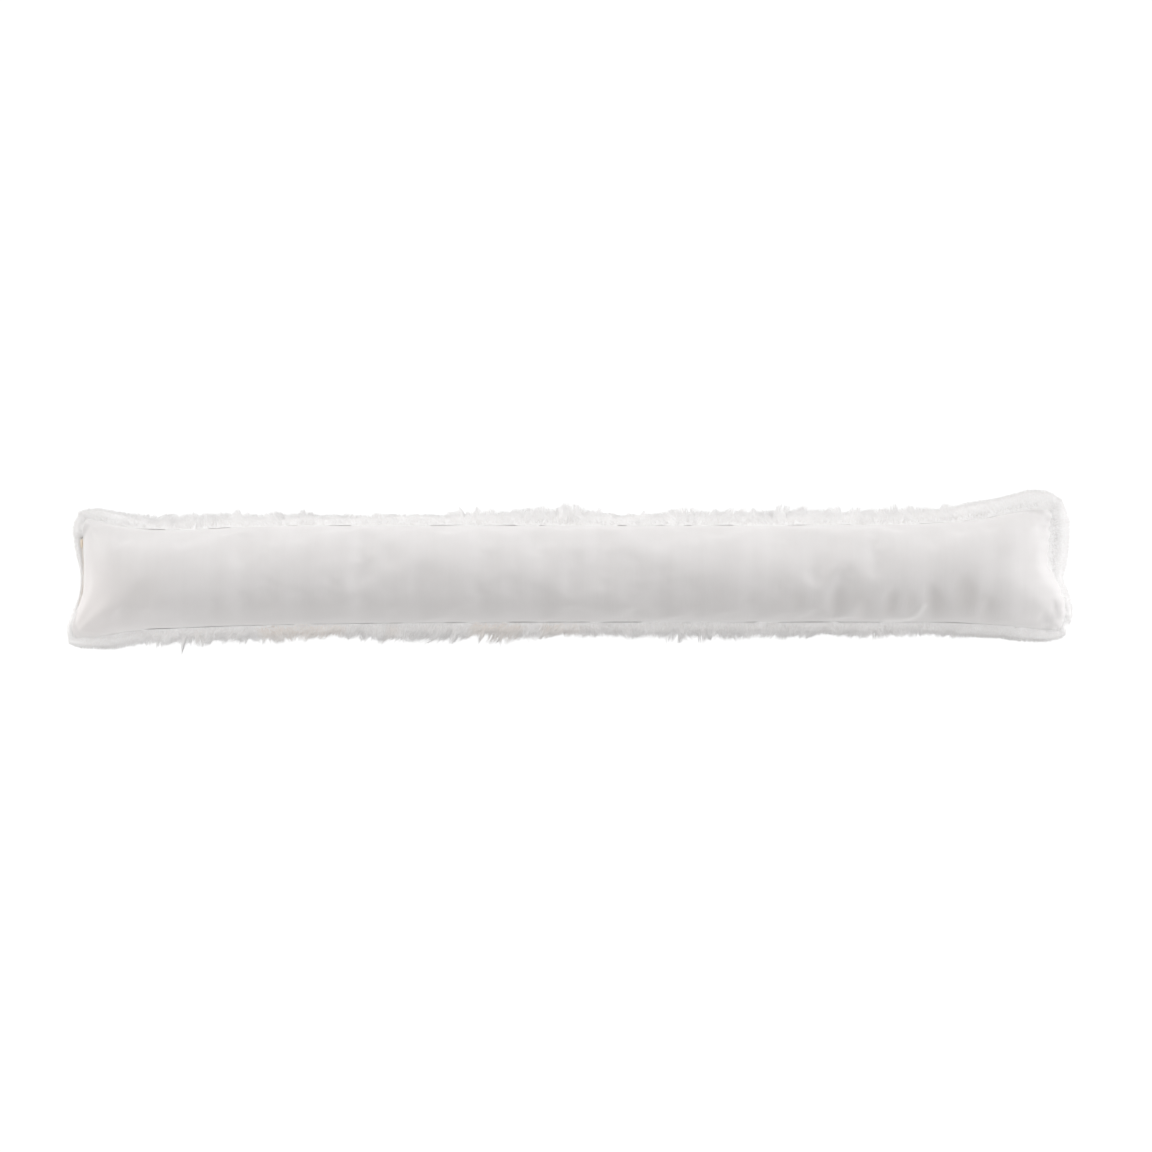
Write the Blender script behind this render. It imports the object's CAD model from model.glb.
"""The looks of a long stuffed draught excluder with a velour back and a faux fur front.

Metres, +Z up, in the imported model's frame: the origin is on the floor under the middle of the
cushion, +X runs along it to the end without the zip, and +Y runs across it. The near side is at -Y
and the far side at +Y.

Cloth starts as a flat grid, as the panel is cut. A place of it has a share along the cushion from
0 to 1 and an angle across it from the near seam, at -90 degrees, to the far seam, at 90.
"""

from __future__ import annotations

import logging
import math
from dataclasses import dataclass, field
from enum import Enum, IntEnum
from typing import NamedTuple

import bmesh
import bpy
import numpy as np
from mathutils import Matrix, Vector, kdtree, noise

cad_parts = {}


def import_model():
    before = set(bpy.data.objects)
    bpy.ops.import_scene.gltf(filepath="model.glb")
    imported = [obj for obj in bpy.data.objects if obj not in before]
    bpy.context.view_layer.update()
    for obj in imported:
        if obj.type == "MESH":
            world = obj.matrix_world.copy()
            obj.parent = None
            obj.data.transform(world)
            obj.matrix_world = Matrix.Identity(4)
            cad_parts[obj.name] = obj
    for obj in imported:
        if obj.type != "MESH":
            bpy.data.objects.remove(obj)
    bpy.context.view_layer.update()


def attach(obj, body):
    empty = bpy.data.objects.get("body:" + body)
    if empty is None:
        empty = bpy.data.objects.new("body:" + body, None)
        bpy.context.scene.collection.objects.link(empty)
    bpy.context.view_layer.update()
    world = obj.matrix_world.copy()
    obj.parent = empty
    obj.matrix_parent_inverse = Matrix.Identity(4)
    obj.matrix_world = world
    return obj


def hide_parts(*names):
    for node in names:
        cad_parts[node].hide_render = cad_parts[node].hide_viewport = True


Array = np.ndarray
Colour = tuple[float, float, float, float]
LOG = logging.getLogger("draught_excluder")
MM = 0.001
BODY = "root"
CLOTH_LAYERS = ("along", "angle", "layer")

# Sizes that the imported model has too, so that each piece fits its solid
SEAM_HEIGHT = 43 * MM
SEAM_SAG_AT_ENDS = 5 * MM
BELLY = 46 * MM
PILE_UNDER_CUSHION = 5 * MM
PILE_HANGING_FREE = 9 * MM
GAP = 0.3 * MM
END_REACH = 88 * MM
END_BLUNTNESS = 2.4
CORNER_THINNING = 0.7
BELLY_FLATNESS = 0.75
RELIEF_FULL_AT = 0.45
CREASE_DEPTH = 1.5 * MM
CREASE_REACH = 34 * MM
CREASES_AT_A_CORNER = 5
CREASE_ROOT = 2 * MM
PILE_LUMP = 0.16
PILE_LUMP_SIZE = 21 * MM
ZIP_FROM, ZIP_TO = -0.45, 0.66
ZIP_RADIUS = 1.1 * MM
ZIP_OFFSET = 1.5 * MM
ZIP_SINK = 2.8 * MM
SLIDER_SHARE = 0.575
SLIDER_SIZE = (3.4 * MM, 9.0 * MM, 2.4 * MM)
SLIDER_OFFSET = 2.5 * MM
# Slow swellings of the filling along the tube: height and length of each wave, and its start
FILLING_WAVES = ((0.7 * MM, 118 * MM, 0.4), (0.45 * MM, 51 * MM, 1.9), (0.25 * MM, 27 * MM, 4.0))


class End(Enum):
    """The two ends of the cushion, each with the sign of X on which it lies."""

    ZIP = -1
    PLAIN = 1


class Seed(IntEnum):
    """The seeds of what varies at random."""

    WOOL = 5
    GUARD_HAIR = 6
    VELOUR_EDGE = 11
    UNDERCOAT = 23
    LEAN = 41
    TONE = 57
    LENGTH = 83
    SEAM_GAPS = 97


class Fold(NamedTuple):
    """A soft fold of slack velour, in millimetres, that leans along X on its way across."""

    x: float
    y: float
    half_width: float
    half_length: float
    depth: float
    lean: float

    def offsets(self, at: Spots) -> tuple[Array, Array]:
        """Measures how far places lie along the fold and aside of it.

        Args:
            at: places of the cut cloth.

        Returns:
            Both distances, in shares of the fold's half sizes.
        """
        across = at.y / MM - self.y
        aside = at.x / MM - self.x - self.lean * across
        return across / self.half_length, aside / self.half_width


class Wisp(NamedTuple):
    """Strands drawn out of a long seam to one tip, in millimetres. Its side is the sign of Y."""

    x: float
    side: int
    reach: float
    lean: float


# Sections along the cushion, in millimetres
SECTION_COLUMNS = ("x", "far_seam", "near_seam", "crown", "far_pile", "near_pile")
SECTIONS = (
    (-448, 50.5, -60.5, 41.0, 8.5, 8.5), (-425, 45.2, -58.6, 42.0, 9.0, 8.5),
    (-402, 40.8, -54.6, 43.5, 8.5, 8.5), (-355, 38.4, -51.8, 45.0, 8.0, 8.5),
    (-290, 41.2, -49.4, 44.0, 8.0, 8.5), (-190, 42.3, -47.6, 44.0, 8.0, 8.5),
    (-80, 42.4, -46.6, 45.5, 9.0, 9.0), (40, 42.4, -46.4, 44.5, 9.5, 8.5),
    (170, 42.4, -46.4, 45.0, 9.0, 8.5), (283, 43.2, -46.4, 44.5, 9.5, 8.5),
    (337, 44.6, -46.6, 43.5, 11.5, 8.5), (377, 48.4, -48.4, 43.0, 13.0, 8.5),
    (406, 54.0, -50.6, 42.0, 14.0, 8.5), (446, 57.0, -54.0, 41.0, 15.0, 8.5),
)
# The two end seams, in millimetres, by the share across from -1 at the near seam to 1 at the far
END_COLUMNS = ("share_across", "x", "pile")
END_ROWS = {
    End.ZIP: (
        (-1.00, -450.5, 9.0), (-0.88, -451.5, 8.0), (-0.65, -449.0, 5.0), (-0.30, -443.0, 3.5),
        (0.05, -441.0, 4.0), (0.50, -442.0, 6.5), (0.80, -441.5, 9.0), (1.00, -440.5, 9.0),
    ),
    End.PLAIN: (
        (-1.00, 446.5, 7.0), (-0.70, 452.5, 5.0), (-0.40, 449.5, 4.5), (-0.12, 442.5, 6.5),
        (0.06, 437.5, 13.5), (0.50, 438.0, 15.0), (0.80, 438.5, 15.5), (1.00, 441.0, 15.0),
    ),
}
# How far the longest strands stand out past the undercoat at both long seams, in millimetres
REACH_COLUMNS = ("x", "far", "near")
REACHES = (
    (-448, 8.5, 10.5), (-420, 8.0, 11.5), (-395, 8.0, 10.0), (-350, 8.5, 9.0), (-250, 7.0, 9.5),
    (-200, 5.0, 9.0), (-140, 4.0, 12.0), (-110, 6.0, 12.5), (-60, 9.0, 12.0), (-22, 9.5, 9.5),
    (2, 14.0, 8.5), (25, 6.5, 8.5), (110, 8.5, 10.0), (185, 9.0, 8.5), (300, 8.5, 8.0),
    (345, 7.5, 6.5), (400, 8.5, 8.0), (446, 11.0, 8.0),
)
FOLDS = (
    Fold(206, -26, 7, 13, 1.1, 0.0), Fold(241, -27, 9, 13, 1.8, 0.1),
    Fold(264, -31, 9, 13, 1.9, -0.1), Fold(289, -30, 7, 12, 2.2, 0.1),
    Fold(307, -29, 5, 9, 1.3, 0.0), Fold(328, -28, 8, 14, 2.0, -0.2),
    Fold(356, -21, 11, 16, 2.3, -0.1), Fold(375, -31, 7, 12, 1.6, -0.1),
    Fold(-385, -24, 13, 20, 1.4, 0.5),
)
WISPS = (
    Wisp(-96, 1, 17, -4), Wisp(-82, 1, 18, -3), Wisp(-8, 1, 19, 2), Wisp(6, 1, 19, 3),
    Wisp(66, 1, 14, 3), Wisp(171, 1, 17, -3), Wisp(262, 1, 16, 4), Wisp(-350, -1, 25, -3),
    Wisp(-339, -1, 19, 5), Wisp(-262, -1, 17, -5), Wisp(-102, -1, 20, -5),
    Wisp(-77, -1, 20, -6), Wisp(-58, -1, 18, -8), Wisp(-22, -1, 16, -5),
    Wisp(103, -1, 20, -3), Wisp(131, -1, 16, -5), Wisp(214, -1, 15, -4),
)
# Small tucks in the velour at the plain end: their places across and depths, in millimetres
TUCKS = (
    (53, 1.2), (45, 0.7), (39, 1.7), (28, 1.5), (16, 0.8), (5, 1.7), (-7, 1.8), (-21, 1.7),
    (-33, 0.9), (-44, 1.1),
)
# The curved ridge of slack velour that runs up out of the near seam
RIDGE = np.array(((286, -45), (300, -44.5), (309, -43), (315, -39), (319, -32.5))) * MM
RIDGE_HALF_WIDTH = 2.4 * MM
RIDGE_HEIGHT = 1.3 * MM
# The line of the folded corner of the fur at the plain end, from the cushion outwards
DOG_EAR = np.array(((443.0, -30.0), (455.0, -52.0))) * MM
DOG_EAR_HALF_WIDTH = 2.6 * MM
DOG_EAR_DEPTH = 4.0 * MM
# The pile is this much shorter where it stands out of a corner, seen from above
CORNER_SHORTENING = 0.27
# The seams show in gaps of this spacing between velour and fur, more of them at the near side
GAP_SPACING = 12 * MM
GAPS_FAR, GAPS_NEAR = -0.2, 0.5
# Just inside a seam: an angle across the cushion and a share along it
RIM_INSIDE_ANGLE = 0.2
RIM_INSIDE_SHARE = 0.0018


def eased(low: float, high: float, value: Array) -> Array:
    """A smooth step from 0 at low to 1 at high."""
    q = np.clip((value - low) / (high - low), 0, 1)
    return q * q * (3 - 2 * q)


def crowded(share: Array, by: float) -> Array:
    """Shares from 0 to 1, moved so that even steps of them crowd together near 0 and 1."""
    return share + by * (0.5 - 0.5 * np.cos(np.pi * share) - share)


def unit(vectors: Array) -> Array:
    """The vectors, each with a length of 1."""
    return vectors / np.maximum(np.linalg.norm(vectors, axis=-1, keepdims=True), 1e-9)


class SmoothCurve:
    """A smooth curve through given values, level beyond its ends."""

    def __init__(self, places: Array, values: Array) -> None:
        """Keeps the values at their rising places, and the slope at each."""
        self.places, self.values = np.asarray(places, float), np.asarray(values, float)
        self.slopes = np.gradient(self.values, self.places)

    def __call__(self, at: Array) -> Array:
        """Reads the curve.

        Args:
            at: the places to read.

        Returns:
            The value at each place.
        """
        at = np.clip(at, self.places[0], self.places[-1])
        k = np.clip(np.searchsorted(self.places, at) - 1, 0, len(self.places) - 2)
        span = self.places[k + 1] - self.places[k]
        q = (at - self.places[k]) / span
        start, end = self.values[k], self.values[k + 1]
        leave, arrive = self.slopes[k] * span, self.slopes[k + 1] * span
        square = (3 * (end - start) - 2 * leave - arrive) * q**2
        return start + leave * q + square + (2 * (start - end) + leave + arrive) * q**3


def curves(columns: tuple[str, ...], rows: tuple, unit_of_first: float) -> dict[str, SmoothCurve]:
    """Lays a curve through each column of a table, along its first column.

    Args:
        columns: the columns' names.
        rows: the table, in millimetres but for its first column.
        unit_of_first: the unit of that column.

    Returns:
        The curve of each other column.
    """
    table = np.array(rows, float)
    places = table[:, 0] * unit_of_first
    return {name: SmoothCurve(places, table[:, k] * MM) for k, name in enumerate(columns) if k}


class Wander:
    """Seeded values that wander smoothly from -1 to 1 over a plane, and repeat past its size."""

    size = 256

    def __init__(self, seed: Seed) -> None:
        """Draws the values."""
        self.table = np.random.default_rng(int(seed)).uniform(-1, 1, (self.size, self.size))

    def __call__(self, across: Array, along: Array | float) -> Array:
        """Reads the plane.

        Args:
            across: places one way, in cells of the table.
            along: places the other way.

        Returns:
            The value at each place.
        """
        across, along = np.broadcast_arrays(np.asarray(across, float), along)
        i, j = np.floor(across).astype(int), np.floor(along).astype(int)
        u, v = eased(0, 1, across - i), eased(0, 1, along - j)
        here, next_one = i % self.size, (i + 1) % self.size
        low, high = (
            self.table[here, row] * (1 - u) + self.table[next_one, row] * u
            for row in (j % self.size, (j + 1) % self.size)
        )
        return low * (1 - v) + high * v


@dataclass(frozen=True)
class Spots:
    """Places of the cut cloth, and where they lie on the stuffed cushion."""

    x: Array
    y: Array
    share: Array
    cos: Array
    far: Array
    near: Array
    end_x: dict[End, Array]
    nearness: dict[End, Array]
    rise: Array

    def by_side(self, far: Array | float, near: Array | float) -> Array:
        """One value on the far side and another on the near side."""
        return np.where(self.share > 0, far, near)

    def end_share(self) -> Array:
        """Nearness to the closer end, from 1 on its seam to 0 where the tube is full."""
        return np.maximum(self.nearness[End.ZIP], self.nearness[End.PLAIN])

    def off_corner(self) -> Array:
        """How far from a corner, from 0 at it to 1 where the seam's edge stands full."""
        return eased(0.0, 0.7, np.maximum(self.rise, self.cos))

    def at_zip(self) -> Array:
        """Measures the nearness to the zip.

        Returns:
            The nearness, from 0 to 1.
        """
        beside = eased(ZIP_FROM - 0.12, ZIP_FROM, self.share)
        beside = beside * (1 - eased(ZIP_TO - 0.01, ZIP_TO + 0.05, self.share))
        return beside * self.nearness[End.ZIP] ** 12

    def sleekness(self) -> Array:
        """How smooth the fur lies, from 0 in its tufted middle to 1 at the ends."""
        right, left = eased(330 * MM, 385 * MM, self.x), eased(375 * MM, 410 * MM, -self.x)
        return np.maximum(right, left)

    def gaps(self) -> Array:
        """Finds where a long seam shows between the velour and the fur.

        Returns:
            How clearly it shows, from 0 to 1.
        """
        most = self.by_side(GAPS_FAR, GAPS_NEAR)
        here = Wander(Seed.SEAM_GAPS)(self.x / GAP_SPACING, self.by_side(3.0, 9.0))
        return (1 - eased(most - 0.15, most + 0.15, here)) * (1 - self.end_share() ** 4)


class TubeForm:
    """The stuffed cushion's form, which every cloth piece follows."""

    def __init__(self) -> None:
        """Lays smooth curves through the tables."""
        self.section = curves(SECTION_COLUMNS, SECTIONS, MM)
        self.ends = {end: curves(END_COLUMNS, rows, 1.0) for end, rows in END_ROWS.items()}
        self.reaches = curves(REACH_COLUMNS, REACHES, MM)

    def cut(self, along: Array, angle: Array) -> Spots:
        """Finds places of the cut cloth.

        Args:
            along: shares along the cushion, from 0 to 1.
            angle: angles across it, in radians.

        Returns:
            Those places on the stuffed cushion.
        """
        share, cosine = np.sin(angle), np.maximum(np.cos(angle), 0.0)
        end_x = {end: self.ends[end]["x"](share) for end in End}
        x = end_x[End.ZIP] + along * (end_x[End.PLAIN] - end_x[End.ZIP])
        far, near = self.section["far_seam"](x), self.section["near_seam"](x)
        nearness = {
            end: np.maximum(1 - end.value * (end_x[end] - x) / END_REACH, 0.0) for end in End
        }
        rise = np.ones_like(x)
        for value in nearness.values():
            rise = rise * np.sqrt(np.maximum(1 - value**END_BLUNTNESS, 0.0))
        y = (far + near) / 2 + share * (far - near) / 2
        return Spots(x, y, share, cosine, far, near, end_x, nearness, rise)

    @staticmethod
    def seam_height(at: Spots) -> Array:
        """The height of the long seams, which sink towards the ends."""
        return SEAM_HEIGHT - SEAM_SAG_AT_ENDS * at.end_share() ** 2

    @staticmethod
    def relief(at: Spots) -> Array:
        """Shapes the filling lumps, soft folds and corner creases, which fade out at the seams.

        Args:
            at: places of the cut cloth.

        Returns:
            Their height at each place.
        """
        lift = sum(
            height * np.sin(2 * np.pi * at.x / length + start)
            for height, length, start in FILLING_WAVES
        )
        for fold in FOLDS:
            across, aside = fold.offsets(at)
            lift = lift - fold.depth * MM * np.exp(-(across**2) - aside**2)
        for end in End:
            for edge in (at.far, at.near):
                out, up = end.value * (at.end_x[end] - at.x), np.abs(edge - at.y)
                fan = np.cos(2 * CREASES_AT_A_CORNER * np.arctan2(up, out + CREASE_ROOT))
                reach = np.hypot(out, up) / CREASE_REACH
                lift = lift + CREASE_DEPTH * fan * reach * np.exp(1 - 2 * reach)
        return lift * np.minimum(1.0, at.cos * at.rise / RELIEF_FULL_AT)

    def crown(self, at: Spots) -> Array:
        """Points on the velour, over the seams. The corners are thinner than the tube.

        Args:
            at: places of the cut cloth.

        Returns:
            The points.
        """
        wing = 1 + CORNER_THINNING * (1 - at.rise)
        height = self.section["crown"](at.x) * at.rise * at.cos**wing
        return np.stack([at.x, at.y, self.seam_height(at) + height + self.relief(at)], -1)

    def belly(self, at: Spots) -> Array:
        """Points on the underside, which is flat where the cushion rests.

        Args:
            at: places of the cut cloth.

        Returns:
            The points.
        """
        drop = BELLY * at.rise * at.cos**BELLY_FLATNESS
        z = np.maximum(self.seam_height(at) - drop, PILE_UNDER_CUSHION)
        return np.stack([at.x, at.y, z], -1)

    @staticmethod
    def facing(at: Spots) -> Array:
        """The direction in which the pile stands: out at the seams, down under the cushion.

        Args:
            at: places of the cut cloth.

        Returns:
            The directions, with a length of 1.
        """
        aside = np.abs(at.share)
        out = sum(end.value * at.nearness[end] ** (3 + 9 * aside**4) for end in End)
        across = at.share * aside ** (4 * at.end_share())
        return unit(np.stack([out, across, -at.cos * at.rise], -1))

    def pile_depth(self, at: Spots) -> Array:
        """Works out how deep the pile stands off its cloth.

        Args:
            at: places of the cut cloth.

        Returns:
            The depth at each place, with its lumps.
        """
        facing = self.facing(at)
        side = at.by_side(self.section["far_pile"](at.x), self.section["near_pile"](at.x))
        plain, zipped = (self.ends[end]["pile"](at.share) for end in (End.PLAIN, End.ZIP))
        end = np.where(at.x > 0, plain, zipped)
        places = np.stack([at.x, at.y, at.cos * BELLY], -1) / PILE_LUMP_SIZE
        lump = PILE_LUMP * np.array([noise.noise(Vector(p)) for p in places.reshape(-1, 3)])
        square = facing**2
        deep = square[..., 0] * end + square[..., 1] * side + square[..., 2] * PILE_HANGING_FREE
        corner = 4 * (facing[..., 0] * facing[..., 1]) ** 2
        return (1 + lump.reshape(at.x.shape)) * deep * (1 - CORNER_SHORTENING * corner)

    @staticmethod
    def by_line(x: Array, y: Array, line: Array, half_width: float) -> Array:
        """Finds the nearness to a line seen from above.

        Args:
            x: places along the cushion.
            y: places across it.
            line: the line's points.
            half_width: how far from it the nearness fades.

        Returns:
            The nearness at each place, from 0 to 1.
        """
        away = np.full(x.shape, np.inf)
        for start, end in zip(line[:-1], line[1:]):
            spot = np.stack([x - start[0], y - start[1]], -1)
            step = end - start
            along = np.clip(spot @ step / (step @ step), 0, 1)
            away = np.minimum(away, np.linalg.norm(spot - along[:, None] * step, axis=-1))
        return np.exp(-((away / half_width) ** 2))

    def in_dog_ear(self, points: Array) -> Array:
        """Nearness to the line of the folded corner, from 0 to 1."""
        return self.by_line(points[:, 0], points[:, 1], DOG_EAR, DOG_EAR_HALF_WIDTH)

    @staticmethod
    def in_folds(at: Spots) -> Array:
        """Finds the places that lie in the soft folds, which have clear edges.

        Args:
            at: places of the cut cloth.

        Returns:
            How far each lies in a fold, from 0 to 1.
        """
        deepest, inside = max(fold.depth for fold in FOLDS), np.zeros_like(at.x)
        for fold in FOLDS:
            across, aside = fold.offsets(at)
            far = (across**2 + aside**2) ** 2.2
            inside = np.maximum(inside, fold.depth / deepest * np.exp(-far))
        return inside

    def rim_room(self, along: Array, angle: Array) -> Array:
        """Measures how high the velour stands over the seam, just inside it.

        Args:
            along: shares along the cushion of places on its border.
            angle: angles across it.

        Returns:
            The heights, under which the fur's rim stays.
        """
        most = np.pi / 2 - RIM_INSIDE_ANGLE
        inside = self.cut(
            np.clip(along, RIM_INSIDE_SHARE, 1 - RIM_INSIDE_SHARE), np.clip(angle, -most, most)
        )
        return self.crown(inside)[..., 2] - self.seam_height(inside)

    def in_pile(self, at: Spots, out: Array) -> Array:
        """Finds points in the fur.

        Args:
            at: places of the cut cloth.
            out: shares of the pile's depth, from its cloth at 0 to its tips at 1.

        Returns:
            The points.
        """
        stand = GAP + out * self.pile_depth(at)
        point = self.belly(at) + self.facing(at) * stand[..., None]
        point[..., 2] = np.maximum(point[..., 2], (1 - out) * (PILE_UNDER_CUSHION - GAP))
        return point

    def end_seam_point(self, share: float, outward: float, above: float) -> Vector:
        """A point beside the seam of the zip's end, at a share across it."""
        at = self.cut(np.array(0.0), np.array(math.asin(share)))
        return Vector((float(at.x) - outward, float(at.y), float(self.seam_height(at)) + above))


class Reading:
    """A socket's value, on which Python's operators add Math nodes."""

    def __init__(self, tree: MaterialTree, socket: bpy.types.NodeSocket) -> None:
        """Keeps the socket and the tree that it is in."""
        self.tree, self.socket = tree, socket

    def math(self, operation: str, *values: Reading | float) -> Reading:
        """Adds a Math node that reads the values."""
        return self.tree.add("ShaderNodeMath", dict(enumerate(values)), operation=operation)

    def floor(self) -> Reading:
        """The whole number under this value."""
        return self.math("FLOOR", self)

    def __add__(self, other: Reading | float) -> Reading:
        """This value plus another."""
        return self.math("ADD", self, other)

    def __sub__(self, other: Reading | float) -> Reading:
        """This value less another."""
        return self.math("SUBTRACT", self, other)

    def __rsub__(self, other: float) -> Reading:
        """A number less this value."""
        return self.math("SUBTRACT", other, self)

    def __mul__(self, other: Reading | float) -> Reading:
        """This value times another."""
        return self.math("MULTIPLY", self, other)

    def __pow__(self, power: float) -> Reading:
        """This value to a power."""
        return self.math("POWER", self, power)

    __radd__, __rmul__ = __add__, __mul__

    def step(self, low: float, high: float) -> Reading:
        """A smooth step from 0 at low to 1 at high."""
        ends = {"Value": self, "From Min": low, "From Max": high}
        return self.tree.add("ShaderNodeMapRange", ends, interpolation_type="SMOOTHSTEP")


class MaterialTree:
    """A material's nodes, each added by its type, what its sockets read and its settings."""

    def __init__(self, name: str) -> None:
        """Starts a material of this name with one shader.

        Args:
            name: the material's name.
        """
        self.material = bpy.data.materials.new(name)
        self.material.use_nodes = True
        self.nodes, self.links = self.material.node_tree.nodes, self.material.node_tree.links

    def add(
        self, kind: str, inputs: dict, output: int | str = 0, **settings: object
    ) -> Reading:
        """Adds a node.

        Args:
            kind: the node's type.
            inputs: what each socket holds or reads, by its name or number.
            output: which of its outputs is wanted.
            settings: its properties, set before its sockets.

        Returns:
            That output.
        """
        node = self.nodes.new(kind)
        for key, value in settings.items():
            setattr(node, key, value)
        for key, value in inputs.items():
            self.put(node.inputs[key], value)
        return Reading(self, node.outputs[output])

    def put(self, socket: bpy.types.NodeSocket, value: object) -> None:
        """Links a reading to a socket, or sets the socket's own value.

        Args:
            socket: the socket.
            value: a reading, or the value that it holds.
        """
        if isinstance(value, Reading):
            self.links.new(value.socket, socket)
        else:
            socket.default_value = value

    def shade(self, **values: object) -> bpy.types.Material:
        """Sets the shader's sockets.

        Args:
            values: what each socket holds or reads, with _ for each space in its name.

        Returns:
            The finished material.
        """
        for key, value in values.items():
            self.put(self.nodes["Principled BSDF"].inputs[key.replace("_", " ")], value)
        return self.material

    def place(self) -> Reading:
        """The place on the object, in metres."""
        return self.add("ShaderNodeTexCoord", {}, "Object")

    def part(self, vector: Reading, axis: int) -> Reading:
        """One of a vector's three parts."""
        return self.add("ShaderNodeSeparateXYZ", {0: vector}, axis)

    def noise(
        self, cells: tuple[float, float, float], detail: float = 2.0, rough: float = 0.5
    ) -> Reading:
        """Adds noise from about 0 to 1.

        Args:
            cells: how many cells it has to a metre each way.
            detail: how many finer layers it has.
            rough: how strong each finer layer is.

        Returns:
            The noise.
        """
        spot = self.add("ShaderNodeMapping", {"Vector": self.place(), "Scale": cells})
        inputs = {"Vector": spot, "Scale": 1.0, "Detail": detail, "Roughness": rough}
        return self.add("ShaderNodeTexNoise", inputs)

    def mixed(self, share: Reading | float, start: object, end: object) -> Reading:
        """A colour between two, by a share from 0 to 1."""
        return self.add("ShaderNodeMix", {"Factor": share, 6: start, 7: end}, 2, data_type="RGBA")

    def bump(self, height: Reading, distance: float, strength: float) -> Reading:
        """A normal from a height, with its distance in metres."""
        inputs = {"Height": height, "Distance": distance, "Strength": strength}
        return self.add("ShaderNodeBump", inputs)


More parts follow.
